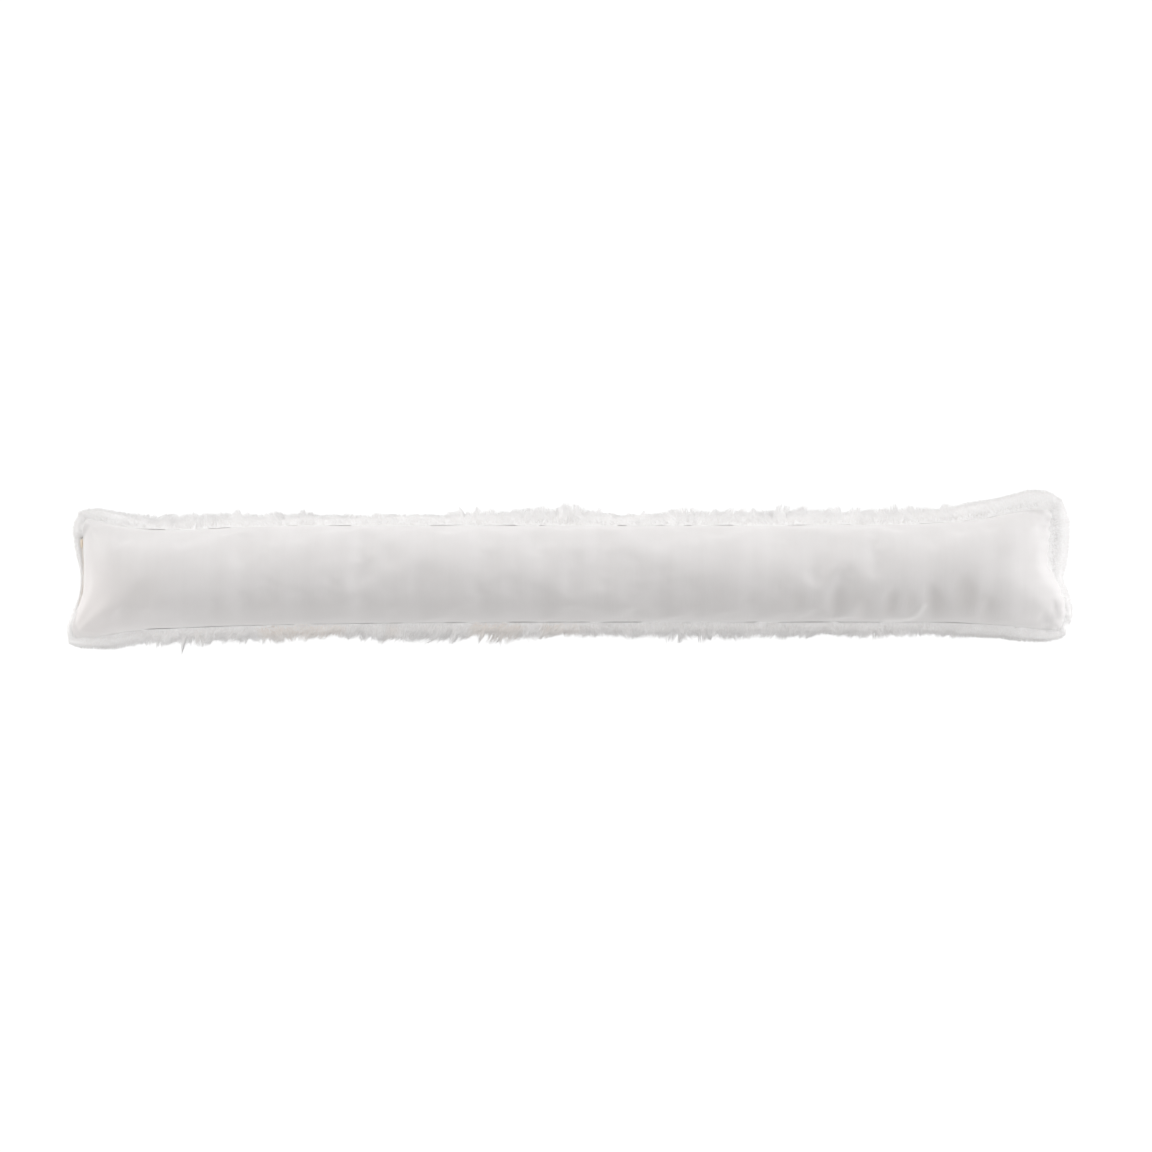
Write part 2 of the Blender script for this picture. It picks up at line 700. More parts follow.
@dataclass(frozen=True)
class Finishes:
    """The colours of velour, fur and zip, and a method that builds the material of each."""

    velour_lit: Colour = (0.762, 0.744, 0.742, 1.0)
    velour_shaded: Colour = (0.682, 0.664, 0.658, 1.0)
    velour_warm: Colour = (0.758, 0.722, 0.712, 1.0)
    # Where slack cloth lies in folds, its nap is stroked away from the light
    velour_folded: Colour = (0.655, 0.634, 0.624, 1.0)
    # The folded edge along the seams, where the nap stands open and catches the light
    velour_lip: Colour = (0.845, 0.832, 0.825, 1.0)
    # A strand lies in one column of the pile's own map, which runs from its root to its tip. The
    # columns run from cool and bright to warm and shaded
    map_name: str = "OFBake"
    columns: int = 24
    root: Colour = (0.855, 0.846, 0.843, 1.0)
    tip: Colour = (0.915, 0.908, 0.908, 1.0)
    warm_root: Colour = (0.83, 0.755, 0.69, 1.0)
    warm_tip: Colour = (0.91, 0.88, 0.855, 1.0)
    wool: Colour = (0.93, 0.924, 0.922, 1.0)
    wool_between: Colour = (0.86, 0.848, 0.84, 1.0)
    coil: Colour = (0.93, 0.90, 0.87, 1.0)
    coil_dusty: Colour = (0.85, 0.79, 0.73, 1.0)
    thread: Colour = (0.95, 0.93, 0.91, 1.0)
    thread_between: Colour = (0.86, 0.82, 0.78, 1.0)
    lacquer: Colour = (0.83, 0.73, 0.60, 1.0)
    lacquer_worn: Colour = (0.90, 0.83, 0.73, 1.0)

    def velour(self) -> bpy.types.Material:
        """Builds short brushed nap, stroked in faint bands, with the mesh's folds and lip.

        Returns:
            The material.
        """
        tree = MaterialTree("white_velour")
        place = tree.place()
        x, y = tree.part(place, 0), tree.part(place, 1)
        mottle = tree.noise((38, 38, 38), 3.0)
        bands = tree.noise((105, 9, 9))
        strokes = tree.noise((620, 55, 55), 3.0, 0.6)
        nap = tree.noise((1500, 1500, 1500))
        patches = tree.noise((30, 45, 30)).step(0.42, 0.66)
        stroked = (0.0 - y).step(-0.005, 0.03) * x.step(-0.08, 0.02) * patches
        tone = (mottle - 0.5) * 0.70 + (bands - 0.5) * 0.34 + (nap - 0.5) * 0.30
        tone = tone + (strokes - 0.5) * (0.15 + 0.50 * stroked)
        middle = (x + 0.40).step(0.0, 0.10) * (0.44 - x).step(0.0, 0.10)
        tone = tone - (0.0 - y).step(0.014, 0.036) * middle * 0.42
        tinted = tree.mixed(tone.step(-0.62, 0.62), self.velour_shaded, self.velour_lit)
        aged = (0.0 - x).step(0.34, 0.46) * (0.02 - y).step(-0.02, 0.05) * 0.75
        tinted = tree.mixed(aged, tinted, self.velour_warm)
        in_fold, lip = (
            tree.add("ShaderNodeAttribute", {}, "Fac", attribute_name=name)
            for name in ("in_fold", "lip")
        )
        stroked_away = in_fold * (0.75 + (strokes - 0.5) * 0.6)
        tinted = tree.mixed(stroked_away, tinted, self.velour_folded)
        height = nap * 0.6 + strokes * (0.2 + 0.8 * stroked)
        return tree.shade(
            Base_Color=tree.mixed(lip, tinted, self.velour_lip),
            Roughness=0.90 + (nap - 0.5) * 0.12,
            Normal=tree.bump(height, 0.25 * MM, 0.55),
            Sheen_Weight=0.30,
            Sheen_Roughness=0.45,
            Specular_IOR_Level=0.25,
        )

    def strands(self) -> bpy.types.Material:
        """Builds the strands, darker and warmer at their roots, each a little different.

        Returns:
            The material.
        """
        tree = MaterialTree("white_fur_strands")
        spot = tree.add("ShaderNodeUVMap", {}, uv_map=self.map_name)
        across, up = tree.part(spot, 0), tree.part(spot, 1)
        column = (across * self.columns).floor()
        own = tree.add("ShaderNodeTexWhiteNoise", {"W": column}, "Value", noise_dimensions="1D")
        along = (up**0.7 + (own - 0.5) * 0.35).step(0.0, 1.0)
        cool = tree.mixed(along, self.root, self.tip)
        warm = tree.mixed(along, self.warm_root, self.warm_tip)
        return tree.shade(
            Base_Color=tree.mixed(across, cool, warm),
            Roughness=0.62 + own * 0.1,
            Sheen_Weight=0.25,
            Sheen_Roughness=0.4,
            Specular_IOR_Level=0.35,
        )

    def undercoat(self) -> bpy.types.Material:
        """Builds the dense short wool under the strands, with shade between its tufts.

        Returns:
            The material.
        """
        tree = MaterialTree("white_fur_undercoat")
        tufts = tree.noise((130, 130, 130), 3.0, 0.6)
        hairs = tree.noise((900, 900, 300))
        tone = tufts * 0.75 + hairs * 0.45
        return tree.shade(
            Base_Color=tree.mixed(tone.step(0.30, 0.85), self.wool_between, self.wool),
            Roughness=0.92 + (hairs - 0.5) * 0.1,
            Normal=tree.bump(tufts + hairs * 0.5, 1.2 * MM, 0.8),
            Sheen_Weight=0.25,
        )

    def zip_coil(self) -> bpy.types.Material:
        """Builds the satin nylon coil, browner with dust between its teeth.

        Returns:
            The material.
        """
        tree = MaterialTree("beige_zip_coil")
        dust = tree.noise((700, 700, 700), 3.0)
        return tree.shade(
            Base_Color=tree.mixed(dust.step(0.3, 0.7), self.coil_dusty, self.coil),
            Roughness=0.42 + dust * 0.2,
            Normal=tree.bump(dust, 0.05 * MM, 0.4),
        )

    def zip_tape(self) -> bpy.types.Material:
        """Builds the woven tape: fine ribs across it, a little darker in the weave.

        Returns:
            The material.
        """
        tree = MaterialTree("cream_zip_tape")
        inputs = {"Vector": tree.place(), "Scale": 260.0, "Distortion": 1.0, "Detail": 1.0}
        rib = tree.add("ShaderNodeTexWave", inputs, 1, bands_direction="Y")
        return tree.shade(
            Base_Color=tree.mixed(rib, self.thread_between, self.thread),
            Roughness=0.85 - rib * 0.1,
            Normal=tree.bump(rib, 0.12 * MM, 0.6),
        )

    def slider(self) -> bpy.types.Material:
        """Builds tan lacquer over brass, worn through along its edges.

        Returns:
            The material.
        """
        tree = MaterialTree("tan_lacquered_brass")
        scuffs = tree.noise((420, 420, 420), 4.0, 0.65)
        wear = scuffs.step(0.52, 0.68)
        return tree.shade(
            Base_Color=tree.mixed(wear, self.lacquer, self.lacquer_worn),
            Roughness=0.34 + scuffs * 0.2,
            Metallic=0.05 + wear * 0.25,
            Normal=tree.bump(scuffs, 0.04 * MM, 0.5),
        )


FINISHES = Finishes()


def turn_out(bm: bmesh.types.BMesh) -> None:
    """Turns the faces of a closed bmesh outwards.

    Args:
        bm: the bmesh.
    """
    bmesh.ops.recalc_face_normals(bm, faces=bm.faces)
    if bm.calc_volume(signed=True) < 0:
        bmesh.ops.reverse_faces(bm, faces=bm.faces)


def place_verts(bm: bmesh.types.BMesh, points: Array) -> None:
    """Moves a bmesh's vertices to the points."""
    for vert, point in zip(bm.verts, points):
        vert.co = point


def show(name: str, data: bpy.types.ID) -> bpy.types.Object:
    """Shows a mesh, light or camera as an object at the origin.

    Args:
        name: the object's name.
        data: the mesh, light or camera.

    Returns:
        The object.
    """
    made = bpy.data.objects.new(name, data)
    bpy.context.scene.collection.objects.link(made)
    return made


def object_of(name: str, mesh: bpy.types.Mesh, finish: bpy.types.Material) -> bpy.types.Object:
    """Shows a mesh, already in its place, smooth and with its finish.

    Args:
        name: the object's name.
        mesh: the mesh.
        finish: its material.

    Returns:
        The object.
    """
    mesh.shade_smooth()
    mesh.materials.append(finish)
    return show(name, mesh)


def object_from(name: str, bm: bmesh.types.BMesh, finish: bpy.types.Material) -> bpy.types.Object:
    """Turns a closed bmesh outwards and shows it as an object.

    Args:
        name: the object's name.
        bm: the bmesh, which is used up.
        finish: its material.

    Returns:
        The object.
    """
    turn_out(bm)
    mesh = bpy.data.meshes.new(name)
    bm.to_mesh(mesh)
    bm.free()
    return object_of(name, mesh, finish)


def settle(piece: bpy.types.Object, node: str) -> None:
    """Fixes a finished piece to the body, and says what it stands for.

    Args:
        piece: the piece, in its place.
        node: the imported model's node that it replaces.
    """
    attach(piece, BODY)
    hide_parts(node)
    LOG.info("%s: %d faces for %s", piece.name, len(piece.data.polygons), node)


def read(
    items: bpy.types.bpy_prop_collection, name: str, width: int = 1, kind: type = float
) -> Array:
    """Reads a property of each of a mesh's items.

    Args:
        items: the items.
        name: the property.
        width: how many numbers it has.
        kind: float, or int for whole numbers.

    Returns:
        The numbers, one row for each item where the property has several.
    """
    flat = np.empty(len(items) * width, np.int32 if kind is int else np.float32)
    items.foreach_get(name, flat)
    return flat.astype(kind).reshape((-1, width) if width > 1 else -1)


def points_of(mesh: bpy.types.Mesh) -> Array:
    """The places of a mesh's vertices."""
    return read(mesh.vertices, "co", 3)


def flat_places(mesh: bpy.types.Mesh) -> list[Array]:
    """Each vertex's share along the cut cloth, angle across it and layer."""
    return [read(mesh.attributes[name].data, "value") for name in CLOTH_LAYERS]


def normals_of(mesh: bpy.types.Mesh) -> Array:
    """The normals at a mesh's vertices."""
    return read(mesh.vertex_normals, "vector", 3)


def move_to(mesh: bpy.types.Mesh, points: Array) -> None:
    """Moves a mesh's vertices to the points."""
    mesh.vertices.foreach_set("co", points.astype(np.float32).ravel())
    mesh.update()


@dataclass
class CutCloth:
    """A flat grid, as a panel is cut, which keeps each vertex's place on the cloth."""

    along_steps: int
    across_steps: int
    end_crowding: float
    seam_crowding: float = 0.35

    def lay(self, bm: bmesh.types.BMesh, layer: float) -> None:
        """Adds the grid, with the share along as X, the angle across as Y and the layer as Z.

        Args:
            bm: the bmesh.
            layer: the layer's height while the panel is flat.
        """
        grid = bmesh.ops.create_grid(
            bm, x_segments=self.along_steps, y_segments=self.across_steps, size=0.5
        )
        for vert in grid["verts"]:
            along = float(crowded(np.array(vert.co.x + 0.5), self.end_crowding))
            across = float(crowded(np.array(vert.co.y + 0.5), self.seam_crowding))
            vert.co = Vector((along, math.pi * (across - 0.5), layer))

    @staticmethod
    def remember(bm: bmesh.types.BMesh) -> Array:
        """Keeps each vertex's flat place in the mesh's layers.

        Args:
            bm: the bmesh, while it is flat.

        Returns:
            The shares along, the angles across and the layers.
        """
        layers = [bm.verts.layers.float.new(name) for name in CLOTH_LAYERS]
        for vert in bm.verts:
            for k, layer in enumerate(layers):
                vert[layer] = vert.co[k]
        return np.array([vert.co for vert in bm.verts]).T


@dataclass
class VelourCover:
    """The filled tube: the velour back with its crown, and the underside that the fur hides."""

    form: TubeForm
    cloth: CutCloth = field(default_factory=lambda: CutCloth(190, 44, 0.92))
    pressure: float = 4.0
    # How much larger than the tube the velour is cut, which puckers it
    spare_cloth: float = 0.02
    frames: int = 20
    most_moved: float = 1.8 * MM
    # Beside the seams the velour is held: it moves freely from these shares of its full height on
    freed: tuple[float, float] = (0.2, 0.65)
    # A rolled edge along the seams: how far it stands out and is lifted, by height over the seam
    roll_heights: tuple[float, ...] = (0, 1.0, 2.0, 3.5, 5.0, 6.5, 8.0)
    roll_out: tuple[float, ...] = (0, 0.8, 1.1, 0.8, 0.35, 0.1, 0)
    roll_lift: tuple[float, ...] = (0, 3.4, 3.3, 2.2, 0.9, 0.1, 0)
    # The lip's brightening fades out between these heights over the seam
    lip_top: tuple[float, float] = (5.5 * MM, 9.5 * MM)
    tuck_half_width: float = 1.9 * MM
    tuck_reach: float = 11 * MM

    def build(self) -> None:
        """Builds, fills and dresses the cover."""
        cover = self.sewn()
        self.fill(cover)
        self.smooth(cover)
        self.dress(cover.data)
        settle(cover, "cushion")

    def sewn(self) -> bpy.types.Object:
        """Lays the crown and the underside, and sews them together along all four seams.

        Returns:
            The closed cover.
        """
        bm = bmesh.new()
        self.cloth.lay(bm, 1.0)
        self.cloth.lay(bm, 0.0)
        along, angle, layer = self.cloth.remember(bm)
        at = self.form.cut(along, angle)
        place_verts(bm, np.where(layer[:, None] > 0.5, self.form.crown(at), self.form.belly(at)))
        bmesh.ops.remove_doubles(bm, verts=bm.verts, dist=0.01 * MM)
        return object_from("velour_cover", bm, FINISHES.velour())

    def fill(self, cover: bpy.types.Object) -> None:
        """Swells the crown with a cloth simulation, and applies the result.

        Args:
            cover: the sewn cover, whose seams and underside stay where they are.
        """
        mesh, scene = cover.data, bpy.context.scene
        start = points_of(mesh)
        along, angle, layer = flat_places(mesh)
        sewn = (np.cos(angle) < 0.02) | (along < 1e-5) | (along > 1 - 1e-5) | (layer < 0.5)
        group = cover.vertex_groups.new(name="sewn")
        group.add([int(k) for k in np.nonzero(sewn)[0]], 1.0, "REPLACE")
        cloth = cover.modifiers.new("filling", "CLOTH")
        settings = {
            "quality": 6, "mass": 0.25, "tension_stiffness": 25, "compression_stiffness": 25,
            "shear_stiffness": 12, "bending_stiffness": 2.5, "use_pressure": True,
            "uniform_pressure_force": self.pressure, "shrink_min": -self.spare_cloth,
            "vertex_group_mass": group.name,
        }
        for name, value in settings.items():
            setattr(cloth.settings, name, value)
        cloth.settings.effector_weights.gravity = 0.0
        cloth.collision_settings.use_collision = False
        cloth.collision_settings.use_self_collision = False
        cloth.point_cache.frame_start, cloth.point_cache.frame_end = 1, self.frames
        for frame in range(1, self.frames + 1):
            scene.frame_set(frame)
        view = bpy.context.evaluated_depsgraph_get()
        moved = points_of(cover.evaluated_get(view).to_mesh()) - start
        cover.evaluated_get(view).to_mesh_clear()
        cover.modifiers.remove(cloth)
        cover.vertex_groups.remove(group)
        scene.frame_set(1)
        far = np.linalg.norm(moved, axis=1, keepdims=True)
        LOG.info("velour_cover: the filling moved it %.1f mm at most", far.max() / MM)
        held = self.most_moved * np.tanh(far / self.most_moved) / np.maximum(far, 1e-9)
        at = self.form.cut(along, angle)
        held = held * eased(*self.freed, at.cos * at.rise)[:, None]
        move_to(mesh, start + moved * held)

    @staticmethod
    def smooth(cover: bpy.types.Object) -> None:
        """Subdivides the cover once, and applies that.

        Args:
            cover: the cover.
        """
        rounding = cover.modifiers.new("rounding", "SUBSURF")
        rounding.levels = rounding.render_levels = 1
        view = bpy.context.evaluated_depsgraph_get()
        fine = bpy.data.meshes.new_from_object(cover.evaluated_get(view))
        cover.modifiers.remove(rounding)
        coarse, cover.data = cover.data, fine
        bpy.data.meshes.remove(coarse)
        fine.name = cover.name

    def dress(self, mesh: bpy.types.Mesh) -> None:
        """Rolls the velour's edge out over the seams, marks its folds and tucks its plain end.

        Args:
            mesh: the cover's fine mesh.
        """
        points, (along, angle, layer) = points_of(mesh), flat_places(mesh)
        at = self.form.cut(along, angle)
        height = points[:, 2] - self.form.seam_height(at)
        upper = (layer > 0.5) & (height > 0)
        out = sum(end.value * at.nearness[end] ** 3 * (1 - at.rise) for end in End)
        outward = unit(np.stack([out, at.share * np.abs(at.share) ** 7, 0 * out], -1))
        uneven = 0.75 + 0.45 * Wander(Seed.VELOUR_EDGE)(at.x / (9 * MM), at.y / (9 * MM))
        clear = eased(0.12, 0.55, np.maximum(at.rise, at.cos)) * upper * uneven
        clear = clear * (1 - 0.3 * at.at_zip()) * (1 - 0.5 * at.nearness[End.PLAIN] ** 8)
        roll_out, roll_lift = (
            SmoothCurve(self.roll_heights, values)(height / MM) * MM
            for values in (self.roll_out, self.roll_lift)
        )
        lip = (1 - eased(*self.lip_top, height)) * upper * (1 - 0.75 * at.end_share() ** 0.5)
        ridge = self.form.by_line(at.x, at.y, RIDGE, RIDGE_HALF_WIDTH) * upper
        tones = {"lip": np.maximum(lip, 0.45 * ridge), "in_fold": self.form.in_folds(at) * upper}
        for name, values in tones.items():
            tone = mesh.attributes.new(name, "FLOAT", "POINT")
            tone.data.foreach_set("value", values.astype(np.float32))
        points += outward * (roll_out * clear)[:, None]
        points[:, 2] += roll_lift * clear + RIDGE_HEIGHT * ridge

        inward = at.end_x[End.PLAIN] - at.x
        for place, depth in TUCKS:
            aside = (at.y - place * MM) / (self.tuck_half_width + 0.12 * inward)
            tuck = depth * MM * np.exp(-(aside**2) - inward / self.tuck_reach)
            tuck = tuck * (layer > 0.5) * eased(0.0, 0.3, at.cos)
            points[:, 0] -= 0.6 * tuck
            points[:, 2] -= 0.9 * tuck
        move_to(mesh, points)


@dataclass
class FurBacking:
    """The fur's cloth and its dense undercoat, wrapped under the cushion from seam to seam."""

    form: TubeForm
    cloth: CutCloth = field(default_factory=lambda: CutCloth(260, 36, 0.85))
    # The undercoat's share of the pile's depth, tufted and sleek, and the size of its tufts
    undercoat: tuple[float, float] = (0.72, 1.04)
    tuft_width: float = 8 * MM
    tuft_depth: float = 1.1 * MM
    # The rounded rim from the seam outwards: shares of its width, and heights over the seam, in
    # millimetres, beside the long seams, the plain end and the zip. The rim slopes down and
    # outwards at the plain end, open to the light, and leaves a shallow trench beside the zip
    rim_steps: int = 3
    rim_out: tuple[float, ...] = (0.0, 0.04, 0.5, 1.0)
    rim_out_at_zip: tuple[float, ...] = (0.0, 2.4, 3.1, 9.0)
    rim_lifts: tuple[tuple[float, ...], ...] = (
        (2.0, 7.5, 5.2, 0.8), (2.0, 6.5, 2.6, 0.0), (-2.1, -1.6, -0.4, -0.7)
    )
    # The rim stays under these shares of the velour's height just inside the seam
    rim_most: tuple[float, ...] = (1.0, 0.85, 0.65, 1.0)
    rim_unevenness: float = 1.3 * MM
    # How far the rim's upper inner edge tucks in under the velour
    rim_tuck: float = 2.0 * MM
    rim_tuck_in_gaps: float = 0.75 * MM
    rim_tuck_at_end: float = 3.6 * MM

    def build(self) -> bpy.types.Object:
        """Builds the closed backing.

        Returns:
            The backing, with its place on the cut cloth in its attributes.
        """
        bm = bmesh.new()
        self.cloth.lay(bm, 0.0)
        raised = bmesh.ops.extrude_face_region(bm, geom=bm.faces, use_keep_orig=True)["geom"]
        for vert in (g for g in raised if isinstance(g, bmesh.types.BMVert)):
            vert.co.z = 1.0
        rim = [e for e in bm.edges if abs(e.verts[0].co.z - e.verts[1].co.z) > 0.5]
        bmesh.ops.subdivide_edges(bm, edges=rim, cuts=self.rim_steps - 1, use_grid_fill=True)
        along, angle, layer = self.cloth.remember(bm)
        at = self.form.cut(along, angle)
        at_plain, at_zip, sleek = at.nearness[End.PLAIN], at.at_zip(), at.sleekness()
        wander = Wander(Seed.UNDERCOAT)
        tufts = wander(at.x / self.tuft_width, angle * 45 * MM / self.tuft_width)
        tufted, smooth = self.undercoat
        undercoat = tufted + sleek * (smooth - tufted)
        step = np.round(layer * self.rim_steps).astype(int)
        beside, zipped = np.take(self.rim_out, step), np.take(self.rim_out_at_zip, step) * MM
        zipped = np.minimum(zipped / (undercoat * self.form.pile_depth(at)), step / self.rim_steps)
        zipped = np.where(step == self.rim_steps, 1.0, zipped)
        layer = beside + (zipped - beside) * at_zip
        points = self.form.in_pile(at, layer * undercoat)
        tufts = tufts * self.tuft_depth * (1 - 0.8 * sleek)
        points += self.form.facing(at) * (layer * tufts)[:, None]

        plain, ended, zipped = (np.take(lift, step) for lift in self.rim_lifts)
        plain = plain + (ended - plain) * at_plain**10
        room = self.form.rim_room(along, angle) / MM * np.take(self.rim_most, step)
        plain = np.minimum(plain, room)
        lift = plain + (zipped - plain) * at_zip
        gap = at.gaps() * (1 - 0.25 * sleek)
        tuck = self.rim_tuck * (1 - gap) + self.rim_tuck_in_gaps * gap
        tuck = tuck + (self.rim_tuck_at_end - tuck) * at_plain**8
        tuck = tuck * (step == 1) * (1 - at_zip)
        points -= self.form.facing(at) * tuck[:, None]
        uneven = self.rim_unevenness * wander(at.x / (13 * MM), at.y / (13 * MM) + 0.5)
        uneven = uneven * np.isin(step, (1, 2)) * (1 - 0.7 * sleek) * (1 - at_zip)
        border = (np.abs(np.abs(angle) - np.pi / 2) < 1e-4) | (np.minimum(along, 1 - along) < 1e-4)
        points[:, 2] += border * (lift * MM + uneven)
        points[:, 2] -= layer * DOG_EAR_DEPTH * self.form.in_dog_ear(points)
        points[:, 2] = np.maximum(points[:, 2], 1.2 * MM)
        place_verts(bm, points)
        made = object_from("fur_backing", bm, FINISHES.undercoat())
        self.sharpen(made.data)
        return made

    def sharpen(self, mesh: bpy.types.Mesh) -> None:
        """Keeps the rim's upper inner edge sharp, so that its hidden wall doesn't shade the rim.

        Args:
            mesh: the backing's mesh.
        """
        layer = flat_places(mesh)[2]
        ends = read(mesh.edges, "vertices", 2, int)
        away = np.abs(layer[ends] * self.rim_steps - 1).max(axis=1)
        mesh.attributes.new("sharp_edge", "BOOLEAN", "EDGE").data.foreach_set("value", away < 0.1)


@dataclass(frozen=True)
class Coat:
    """One of the fur's two coats, in joined pieces of many strands."""

    pieces: tuple[str, ...]
    strands: int
    radius: float
    curved: bool
    # A share of the longest strands' reach, and how far its tips are drawn together in tufts
    reach: float
    drawn: float
    tuft_width: float
    stray: float
    seed: Seed


COATS = (
    Coat(
        ("wool_a", "wool_b", "wool_c"), strands=105000, radius=0.22 * MM, curved=False,
        reach=0.72, drawn=0.35, tuft_width=6 * MM, stray=0.30, seed=Seed.WOOL,
    ),
    Coat(
        ("hair_a", "hair_b"), strands=38000, radius=0.24 * MM, curved=True,
        reach=1.0, drawn=0.66, tuft_width=9 * MM, stray=0.16, seed=Seed.GUARD_HAIR,
    ),
)


@dataclass
class FurPile:
    """The pile: tens of thousands of fine tapered strands, drawn together in tufts."""

    form: TubeForm
    backing: bpy.types.Object
    # The panel's area, in square metres, over which the tufts are spread
    spread: float = 0.115
    lean_wave: float = 34 * MM
    # The share of the scattered strands that go where the fur lies under the cushion
    under_share: float = 0.22
    under_height: float = 8 * MM
    # The strands beside the velour, but for the seam's gaps
    upright_length: float = 4.0 * MM
    # How near a wisp's middle its strands are rooted, and how far down its tip hangs
    wisp_half_width: float = 2.4 * MM
    wisp_drop: float = 5 * MM
    # How far the strands' shading is turned to the fur's surface, where tufted and where sleek
    softness: tuple[float, float] = (0.55, 0.8)

    def build(self) -> list[bpy.types.Object]:
        """Grows both coats on the backing, in pieces in order along the cushion."""
        finish = FINISHES.strands()
        return [piece for coat in COATS for piece in self.grow(coat, finish)]

    def grow(self, coat: Coat, finish: bpy.types.Material) -> list[bpy.types.Object]:
        """Grows one coat.

        Args:
            coat: the coat.
            finish: the strands' material.

        Returns:
            The coat's pieces, in order along the cushion.
        """
        rng = np.random.default_rng(int(coat.seed))
        roots, normals, at, beside = self.scatter(rng, coat.strands)
        middles, tips = self.comb(coat, rng, roots, normals, at, beside)
        columns = self.tones(rng, at)
        pieces = []
        order = np.array_split(np.argsort(roots[:, 0]), len(coat.pieces))
        for name, share in zip(coat.pieces, order):
            lines = (roots[share], middles[share], tips[share])
            mesh = self.strand_mesh(name, coat, rng, lines, columns[share])
            piece = object_of(name, mesh, finish)
            self.soften(mesh, normals[share], at.sleekness()[share])
            # Light passes through fine strands, so they shade neither each other nor the wool
            piece.visible_shadow = piece.visible_diffuse = False
            pieces.append(piece)
        return pieces

    def soften(self, mesh: bpy.types.Mesh, normals: Array, sleek: Array) -> None:
        """Turns the strands' shading towards the fur's own surface, as soft fur scatters light.

        Args:
            mesh: the mesh of many strands.
            normals: the backing's normal at each strand's root.
            sleek: how smooth the fur lies there, from 0 to 1.
        """
        own = normals_of(mesh).reshape(len(normals), -1, 3)
        tufted, smooth = self.softness
        share = (tufted + (smooth - tufted) * sleek)[:, None, None]
        soft = unit(own * (1 - share) + normals[:, None] * share)
        mesh.normals_split_custom_set_from_vertices(soft.reshape(-1, 3).tolist())

    def scatter(
        self, rng: np.random.Generator, strands: int
    ) -> tuple[Array, Array, Spots, Array]:
        """Scatters roots evenly over the backing's rim and outer side.

        Args:
            rng: the seeded source of random numbers.
            strands: how many roots to scatter.

        Returns:
            The roots, the surface's normals there, the places of the cut cloth, and how close
            beside the velour each is, from 0 to 1.
        """
        mesh = self.backing.data
        mesh.calc_loop_triangles()
        corners = read(mesh.loop_triangles, "vertices", 3, int)
        along, angle, layer = flat_places(mesh)
        points, normals = points_of(mesh), normals_of(mesh)
        smooth = self.form.in_dog_ear(points[corners].sum(axis=1) / 3) < 0.7
        corners = corners[(layer[corners].min(axis=1) > 0.2) & smooth]
        a, b, c = (points[corners[:, k]] for k in range(3))
        faces = np.cross(b - a, c - a)
        area = np.linalg.norm(faces, axis=1) / 2
        low = points[corners, 2].mean(axis=1) < self.under_height
        weight = area * np.where(low, self.under_share, 1.0)
        picked = rng.choice(len(corners), strands, p=weight / weight.sum())
        u, v = rng.random((2, strands))
        flip = u + v > 1
        u, v = np.where(flip, 1 - u, u), np.where(flip, 1 - v, v)
        shares = np.stack([1 - u - v, u, v], -1)

        def blended(values: Array) -> Array:
            """The values at the scattered places."""
            return np.einsum("nk,nk...->n...", shares, values[corners[picked]])

        at = self.form.cut(blended(along), blended(angle))
        beside = 1 - eased(0.34, 0.62, blended(layer))
        facing = unit(blended(normals))
        facing = unit(facing + (unit(faces[picked]) - facing) * beside[:, None])
        return blended(points), facing, at, beside

    def comb(
        self, coat: Coat, rng: np.random.Generator, roots: Array, normals: Array,
        at: Spots, beside: Array,
    ) -> tuple[Array, Array]:
        """Combs the strands out and draws them together in tufts.

        Args:
            coat: the strands' coat.
            rng: the seeded source of random numbers.
            roots: where the strands are rooted.
            normals: the backing's normals there.
            at: the places of the cut cloth.
            beside: how close beside the velour each root is, where the strands stand up over
                its edge, but for short gaps.

        Returns:
            The strands' middles and tips.
        """
        count, tufts = len(roots), int(self.spread / coat.tuft_width**2)
        tree = kdtree.KDTree(tufts)
        for k in range(tufts):
            tree.insert(roots[k], k)
        tree.balance()
        tuft = np.array([tree.find(root)[1] for root in roots])

        sleek = at.sleekness()
        fresh = 1 - sleek
        lean = Wander(Seed.LEAN)(at.x / self.lean_wave, at.share * 1.7) - 0.35 * (at.share < 0)
        lean = lean + 0.55 * rng.normal(size=count)[tuft]
        lift = 0.28 * rng.normal(size=count)[tuft]
        stray = rng.normal(size=(count, 3)) * (0.05 + coat.stray * fresh)[:, None]
        facing = self.form.facing(at)
        out = facing * 0.8 + normals * 0.35 + stray
        out[:, 0] += lean * fresh
        out[:, 2] += lift * fresh - 0.12
        cover = 1 - at.gaps()
        upright = stray * 0.8 + np.array([0, 0, 1.0])
        upright -= facing * (0.5 * cover - 0.1)[:, None]
        out = unit(out + (upright - out) * beside[:, None])

